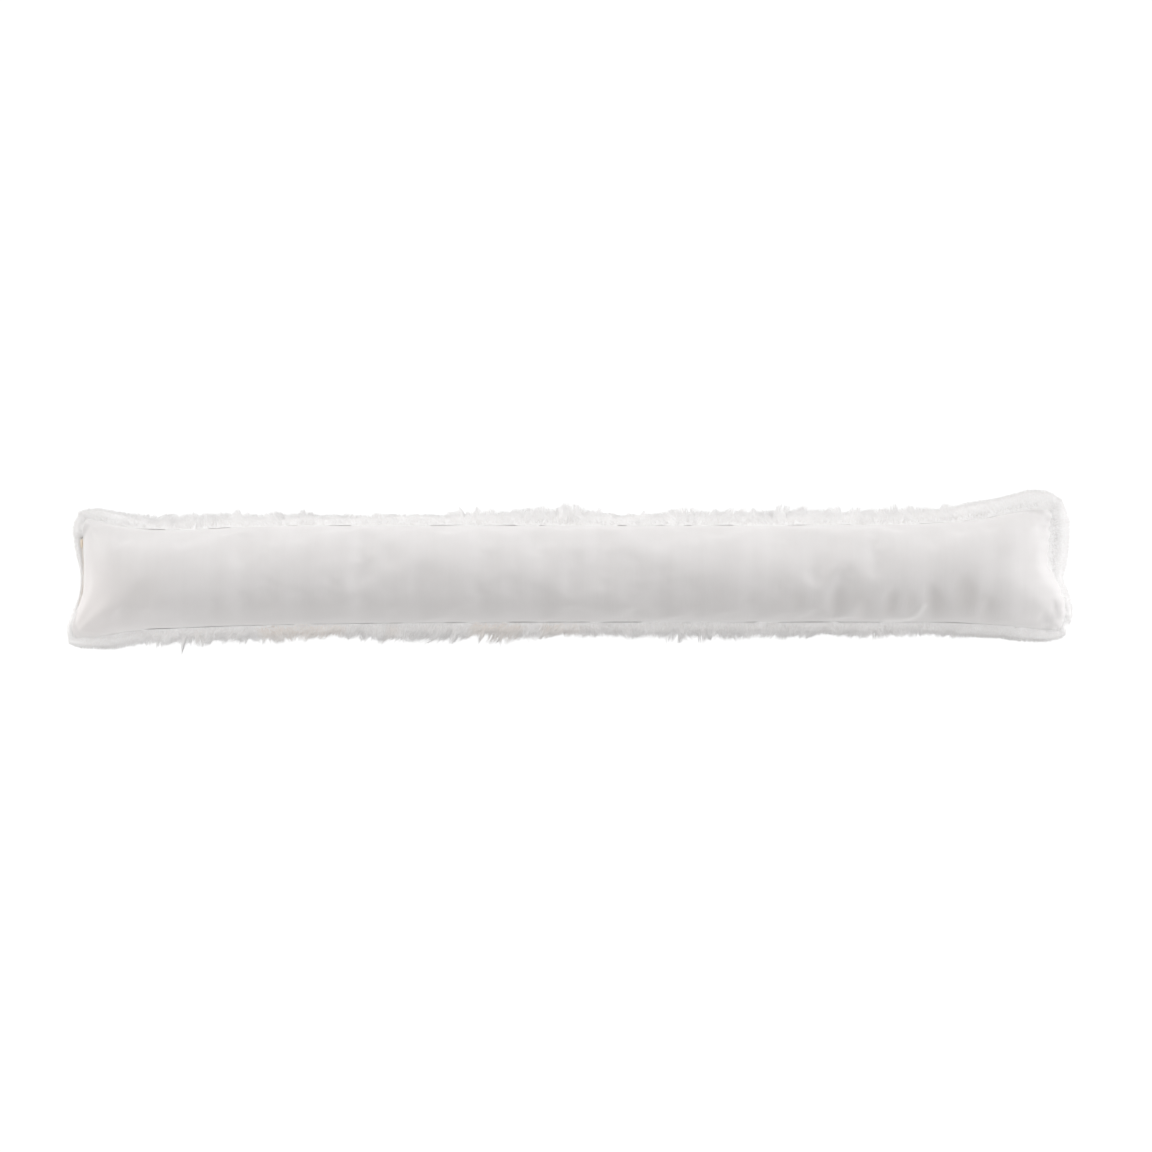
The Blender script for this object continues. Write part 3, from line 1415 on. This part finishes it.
        length = coat.reach * self.reach(at) * (1 - 0.5 * sleek)
        upright_length = self.upright_length * (0.25 + 0.75 * cover) * (0.2 + 0.8 * at.off_corner())
        upright_length = upright_length * (1 - 0.95 * at.at_zip()) * (1 - 0.3 * at.end_share() ** 8)
        length = length + (upright_length - length) * beside
        uneven = 1 + fresh * (0.14 * rng.normal(size=count)[tuft] + 0.24 * rng.normal(size=count))
        uneven = uneven + 0.2 * fresh * Wander(Seed.LENGTH)(at.x / (15 * MM), at.share)
        length = length * np.clip(uneven, 0.4, 1.6)
        tips = roots + out * length[:, None]
        drawn = (coat.drawn * fresh + 0.10 * sleek) * rng.uniform(0.3, 1.0, count)
        drawn = drawn * (1 - 0.85 * beside)
        together = tips[tuft] + 0.30 * (roots - roots[tuft])
        tips = tips + (together - tips) * drawn[:, None]
        if coat.curved:
            self.draw_wisps(rng, tips, at)
        middles = (roots + tips) / 2 + normals * (0.12 * length)[:, None]
        floor = rng.uniform(0.5, 2.2, count) * MM
        tips[:, 2] = np.maximum(tips[:, 2], floor * 0.6)
        middles[:, 2] = np.maximum(middles[:, 2], floor)
        return middles, tips

    def reach(self, at: Spots) -> Array:
        """Works out how far the longest strands stand out past the undercoat.

        Args:
            at: places of the cut cloth.

        Returns:
            The reach at each, which at the zip's end shrinks to little below the slider.
        """
        side = at.by_side(self.form.reaches["far"](at.x), self.form.reaches["near"](at.x))
        end = np.where(at.x > 0, 5.5 * MM, (1.5 + 5.5 * eased(0.1, 0.6, at.share)) * MM)
        near_end = at.end_share() ** 4
        return side * (1 - near_end) + end * near_end

    def draw_wisps(self, rng: np.random.Generator, tips: Array, at: Spots) -> None:
        """Draws the strands round each wisp's place together to its tip.

        Args:
            rng: the seeded source of random numbers.
            tips: the strands' tips, which are moved.
            at: the places of the cut cloth.
        """
        for wisp in WISPS:
            close = np.abs(at.x - wisp.x * MM) < self.wisp_half_width
            inside = np.nonzero(close & (at.share * wisp.side > 0.93))[0]
            seam = at.far[inside] if wisp.side > 0 else at.near[inside]
            along = np.full(len(inside), (wisp.x + wisp.lean) * MM)
            height = np.full(len(inside), SEAM_HEIGHT - self.wisp_drop)
            goal = np.stack([along, seam + wisp.side * wisp.reach * MM, height], -1)
            share = rng.uniform(0.15, 1.0, (len(inside), 1)) ** 0.7
            tips[inside] += (goal - tips[inside]) * share

    @staticmethod
    def tones(rng: np.random.Generator, at: Spots) -> Array:
        """Picks each strand's column of the map.

        Args:
            rng: the seeded source of random numbers.
            at: the places of the cut cloth.

        Returns:
            The columns, from cool and bright to warm and shaded.
        """
        patches = Wander(Seed.TONE)(at.x / (16 * MM), at.share * 2)
        near = eased(0.1, 0.7, -at.share)
        stretch = eased(-355 * MM, -310 * MM, at.x) * (1 - eased(-30 * MM, 60 * MM, at.x))
        warmth = 0.10 + near * (0.05 + 0.68 * stretch * eased(-0.1, 0.5, patches))
        last = FINISHES.columns - 1
        return np.clip(np.round((warmth + 0.08 * rng.normal(size=len(at.x))) * last), 0, last)

    @staticmethod
    def blank(curved: bool) -> tuple[Array, list[list[int]], Array]:
        """Makes one strand of unit radius and length, closed, with three sides.

        Args:
            curved: whether it has a middle, at which it can bend.

        Returns:
            Its points, the points of each face, and the map's places of all the faces' corners.
        """
        bm = bmesh.new()
        top, depth = (0.85, 0.5) if curved else (0.0, 1.0)
        bmesh.ops.create_cone(
            bm, cap_ends=True, segments=3, radius1=1.0, radius2=top, depth=depth
        )
        bmesh.ops.translate(bm, vec=(0, 0, depth / 2), verts=bm.verts)
        if curved:
            cap = max(bm.faces, key=lambda f: f.calc_center_median().z)
            tip = bmesh.ops.poke(bm, faces=[cap])["verts"][0]
            tip.co = Vector((0, 0, 1))
        turn_out(bm)
        bm.verts.index_update()
        points = np.array([v.co for v in bm.verts])
        faces = [[v.index for v in f.verts] for f in bm.faces]
        bm.free()
        places = []
        for face in faces:
            spots = points[face]
            turns = np.round(np.degrees(np.arctan2(spots[:, 1], spots[:, 0]))).astype(int)
            rooted = spots[:, 2].max() < 0.1
            known = sorted({t for t, z in zip(turns, spots[:, 2]) if z < 0.9})
            for k, (turn, z) in enumerate(zip(turns, spots[:, 2])):
                across = 0.5 if z > 0.9 else known.index(turn) / max(len(known) - 1, 1)
                places.append((across, 0.04 * (k == 1) if rooted else z))
        return points, faces, np.array(places)

    def strand_mesh(
        self, name: str, coat: Coat, rng: np.random.Generator,
        lines: tuple[Array, Array, Array], columns: Array,
    ) -> bpy.types.Mesh:
        """Repeats the blank along every strand's line, as one mesh.

        Args:
            name: the mesh's name.
            coat: the strands' coat.
            rng: the seeded source of random numbers.
            lines: the strands' roots, middles and tips.
            columns: their columns of the map.

        Returns:
            The mesh, with its own map.
        """
        roots, middles, tips = lines
        blank, faces, places = self.blank(coat.curved)
        count, corners = len(roots), np.concatenate(faces)
        line = unit(tips - roots)
        aside = unit(np.cross(line, unit(rng.normal(size=(count, 3)))))
        across = np.cross(line, aside)
        levels = np.round(blank[:, 2] * 2).astype(int)
        centres = np.stack([roots, middles, tips], 1)[:, levels]
        radius = (coat.radius * rng.uniform(0.75, 1.25, count))[:, None, None]
        points = centres + radius * (
            blank[None, :, 0, None] * aside[:, None] + blank[None, :, 1, None] * across[:, None]
        )
        mesh = bpy.data.meshes.new(name)
        mesh.vertices.add(count * len(blank))
        mesh.vertices.foreach_set("co", points.astype(np.float32).ravel())
        each = np.arange(count)[:, None]
        mesh.loops.add(count * len(corners))
        indices = (corners[None] + each * len(blank)).astype(np.int32)
        mesh.loops.foreach_set("vertex_index", indices.ravel())
        mesh.polygons.add(count * len(faces))
        starts = np.concatenate([[0], np.cumsum([len(f) for f in faces])[:-1]])
        starts = (starts[None] + each * len(corners)).astype(np.int32)
        mesh.polygons.foreach_set("loop_start", starts.ravel())
        across_map = (columns[:, None] + 0.1 + 0.8 * places[None, :, 0]) / FINISHES.columns
        up_map = np.broadcast_to(places[None, :, 1], across_map.shape)
        spots = np.stack([across_map, up_map], -1).astype(np.float32)
        mesh.uv_layers.new(name=FINISHES.map_name).data.foreach_set("uv", spots.ravel())
        mesh.update(calc_edges=True)
        mesh.validate()
        return mesh


@dataclass
class EndZip:
    """The closed zip in the end seam: its interlocked teeth on a woven tape."""

    form: TubeForm
    tooth: tuple[float, float, float] = (2.2 * MM, 0.72 * MM, 1.0 * MM)
    tooth_rounding: float = 0.22 * MM
    pitch: float = 1.1 * MM
    offset: float = 0.22 * MM
    tape_half_width: float = 1.7 * MM
    tape_thickness: float = 0.5 * MM
    tape_drop: float = 0.6 * MM
    raised: float = 1.2 * MM
    # The coil faces outwards as much as up
    tilt: float = math.radians(52)

    def line(self, share: float) -> Vector:
        """A point on the coil's middle line."""
        rest = -ZIP_SINK + GAP + ZIP_RADIUS + self.raised
        return self.form.end_seam_point(share, ZIP_OFFSET, rest)

    def build(self) -> None:
        """Builds the teeth and the tape."""
        for name, bm, finish in (
            ("zip_teeth", self.teeth(), FINISHES.zip_coil()),
            ("zip_tape", self.tape(), FINISHES.zip_tape()),
        ):
            settle(object_from(name, bm, finish), "end_zip")

    def turned(self, share: float) -> Matrix:
        """Finds the place and turn of one tooth.

        Args:
            share: its share across the end.

        Returns:
            Its matrix, with Y along the coil.
        """
        step = 0.01
        ahead = (self.line(share + step) - self.line(share - step)).normalized()
        up = Vector((0, 0, 1))
        side = ahead.cross(up).normalized() * math.cos(self.tilt) + up * math.sin(self.tilt)
        frame = Matrix((side, ahead, side.cross(ahead))).transposed().to_4x4()
        return Matrix.Translation(self.line(share)) @ frame

    def teeth(self) -> bmesh.types.BMesh:
        """Makes the teeth, each a rounded bar, leaning in turn to one side and the other.

        Returns:
            The teeth.
        """
        length = (self.line(ZIP_TO) - self.line(ZIP_FROM)).length
        count = int(length / self.pitch)
        bm = bmesh.new()
        for k in range(count):
            share = ZIP_FROM + (ZIP_TO - ZIP_FROM) * (k + 0.5) / count
            lean = Matrix.Translation((self.offset * (-1) ** k, 0, 0))
            size = Matrix.Diagonal((*self.tooth, 1))
            bmesh.ops.create_cube(bm, size=1.0, matrix=self.turned(share) @ lean @ size)
        bmesh.ops.bevel(
            bm, geom=bm.edges, offset=self.tooth_rounding, segments=2, profile=0.5,
            affect="EDGES", material=-1,
        )
        return bm

    def tape(self) -> bmesh.types.BMesh:
        """Makes the tape, a thin closed strip under the teeth.

        Returns:
            The tape.
        """
        bm = bmesh.new()
        grid = bmesh.ops.create_grid(bm, x_segments=4, y_segments=40, size=0.5)
        for vert in grid["verts"]:
            share = ZIP_FROM + (ZIP_TO - ZIP_FROM) * (vert.co.y + 0.5)
            aside = Vector((vert.co.x * 2 * self.tape_half_width, 0, -self.tape_drop, 1))
            vert.co = (self.turned(share) @ aside).to_3d()
        bmesh.ops.recalc_face_normals(bm, faces=bm.faces)
        bmesh.ops.solidify(bm, geom=bm.faces[:], thickness=self.tape_thickness)
        return bm


@dataclass
class ZipSlider:
    """The slider over the upper end of the coil: its body, bridge and short pull."""

    form: TubeForm
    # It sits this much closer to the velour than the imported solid
    closer: float = 0.7 * MM

    def build(self) -> None:
        """Builds the slider, whose body has a waist where the two rows meet."""
        bm = bmesh.new()
        wide, long, tall = SLIDER_SIZE
        body = (wide * 0.76, long * 0.78, tall * 0.5), (0, 0, -tall * 0.2), 0.5 * MM
        for vert, share in self.bar(bm, *body):
            vert.co.x *= 0.72 + 0.28 * abs(share) ** 1.5 if share < 0 else 0.72 + 0.34 * share
        bridge = (1.1 * MM, long * 0.46, tall * 0.55), (0, long * 0.05, tall * 0.22), 0.35 * MM
        for vert, share in self.bar(bm, *bridge):
            if vert.co.z > 0:
                vert.co.z -= 0.35 * tall * share**2 * 0.6
        pull = (1.5 * MM, long * 0.55, 0.7 * MM), (0, -long * 0.2, tall * 0.12), 0.25 * MM
        for vert, share in self.bar(bm, *pull):
            vert.co.x *= 1 - 0.18 * share
        above = -ZIP_SINK + 2 * GAP + 2 * ZIP_RADIUS + tall / 2
        spot = self.form.end_seam_point(SLIDER_SHARE, SLIDER_OFFSET - self.closer, above)
        bmesh.ops.translate(bm, vec=spot, verts=bm.verts)
        made = object_from("slider_and_pull", bm, FINISHES.slider())
        settle(made, "zip_slider")

    @staticmethod
    def bar(
        bm: bmesh.types.BMesh, size: tuple[float, ...], spot: tuple[float, ...], rounding: float
    ) -> list[tuple[bmesh.types.BMVert, float]]:
        """Adds a rounded bar.

        Args:
            bm: the bmesh.
            size: the bar's three sizes.
            spot: its middle.
            rounding: how much its edges are rounded.

        Returns:
            Its vertices, each with its place along the bar from -1 to 1.
        """
        place = Matrix.Translation(spot) @ Matrix.Diagonal((*size, 1))
        cube = bmesh.ops.create_cube(bm, size=1.0, matrix=place)["verts"]
        edges = list({edge for vert in cube for edge in vert.link_edges})
        made = bmesh.ops.bevel(
            bm, geom=edges, offset=rounding, segments=3, profile=0.5, affect="EDGES", material=-1
        )
        return [(vert, (vert.co.y - spot[1]) / (size[1] / 2)) for vert in made["verts"]]


@dataclass
class Studio:
    """A pale floor, soft light from the far side and both ends, and the camera straight above."""

    # The photograph is as wide as this at the cushion, and this far off its middle
    picture_width: float = 1.0472
    centre: tuple[float, float] = (6.4 * MM, -4.1 * MM)
    seam_level: float = 45 * MM
    distance: float = 2.6
    sensor: float = 36.0
    ambient: float = 0.50
    floor_glow: float = 0.86
    reflector_spot: tuple[float, float, float] = (0.60, -0.24, 0.16)
    reflector_size: float = 0.16
    reflector_powers: tuple[float, float] = (0.12, 0.085)
    # Each soft light's name, heading in plan, height and width in degrees, power and colour
    suns: tuple[tuple, ...] = (
        ("far_softbox", (0.0, 1.0), 26, 55, 1.20, (1.0, 1.0, 1.0)),
        ("plain_end_softbox", (1.0, -0.1), 14, 40, 1.75, (1.0, 0.995, 1.0)),
        ("zip_end_softbox", (-1.0, 0.1), 14, 40, 1.20, (1.0, 0.98, 0.955)),
    )

    def build(self) -> None:
        """Sets up the camera, the floor and the light."""
        self.camera()
        self.floor()
        self.world()
        for name, heading, height, width, power, colour in self.suns:
            data = bpy.data.lights.new(name, "SUN")
            data.energy, data.color, data.angle = power, colour, math.radians(width)
            flat = Vector((*heading, 0.0)).normalized() * math.cos(math.radians(height))
            towards = flat + Vector((0, 0, math.sin(math.radians(height))))
            show(name, data).rotation_euler = towards.to_track_quat("Z", "Y").to_euler()
        for side, power in zip((-1, 1), self.reflector_powers):
            self.reflector(side, power)
        bpy.context.scene.view_settings.view_transform = "Standard"

    def camera(self) -> None:
        """Puts the camera straight above, with the far side at the top of the picture."""
        data = bpy.data.cameras.new("camera")
        data.sensor_width = self.sensor
        data.lens = self.sensor * self.distance / self.picture_width
        data.clip_end = 100.0
        made = show("camera", data)
        made.location = (*self.centre, self.seam_level + self.distance)
        bpy.context.scene.camera = made

    def floor(self) -> None:
        """Lays the floor."""
        bm = bmesh.new()
        bmesh.ops.create_grid(bm, x_segments=2, y_segments=2, size=6.0)
        mesh = bpy.data.meshes.new("floor")
        bm.to_mesh(mesh)
        bm.free()
        finish = MaterialTree("pale_floor").shade(
            Base_Color=(0.22, 0.22, 0.22, 1.0),
            Roughness=1.0,
            Specular_IOR_Level=0.0,
            Emission_Color=(1.0, 1.0, 1.0, 1.0),
            Emission_Strength=self.floor_glow,
        )
        object_of("floor", mesh, finish)

    def world(self) -> None:
        """Lights the scene evenly, and shows white where the floor ends."""
        world = bpy.data.worlds.new("studio")
        bpy.context.scene.world = world
        world.use_nodes = True
        nodes, links = world.node_tree.nodes, world.node_tree.links
        path = nodes.new("ShaderNodeLightPath")
        strength = nodes.new("ShaderNodeMapRange")
        strength.inputs["To Min"].default_value = self.ambient
        strength.inputs["To Max"].default_value = 1.0
        links.new(path.outputs["Is Camera Ray"], strength.inputs["Value"])
        links.new(strength.outputs[0], nodes["Background"].inputs["Strength"])
        nodes["Background"].inputs["Color"].default_value = (1.0, 1.0, 1.0, 1.0)

    def reflector(self, side: int, power: float) -> None:
        """Adds a weak square light low beside one near corner.

        Args:
            side: the end that it stands at, as the sign of X.
            power: its power.
        """
        data = bpy.data.lights.new("near_reflector", "AREA")
        data.energy, data.size = power, self.reflector_size
        made = show("near_reflector", data)
        made.location = (side * self.reflector_spot[0], *self.reflector_spot[1:])
        aim = Vector((side * 0.42, 0.0, self.seam_level)) - made.location
        made.rotation_euler = aim.to_track_quat("-Z", "Y").to_euler()
        made.visible_camera = False


def main() -> None:
    """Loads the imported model, dresses each piece and sets up the studio."""
    logging.basicConfig(level=logging.INFO, format="%(name)s: %(message)s")
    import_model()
    form = TubeForm()
    Studio().build()
    VelourCover(form).build()
    backing = FurBacking(form).build()
    pile = FurPile(form, backing).build()
    for piece in (backing, *pile):
        settle(piece, "fur_panel")
    EndZip(form).build()
    ZipSlider(form).build()


if __name__ == "__main__":
    main()
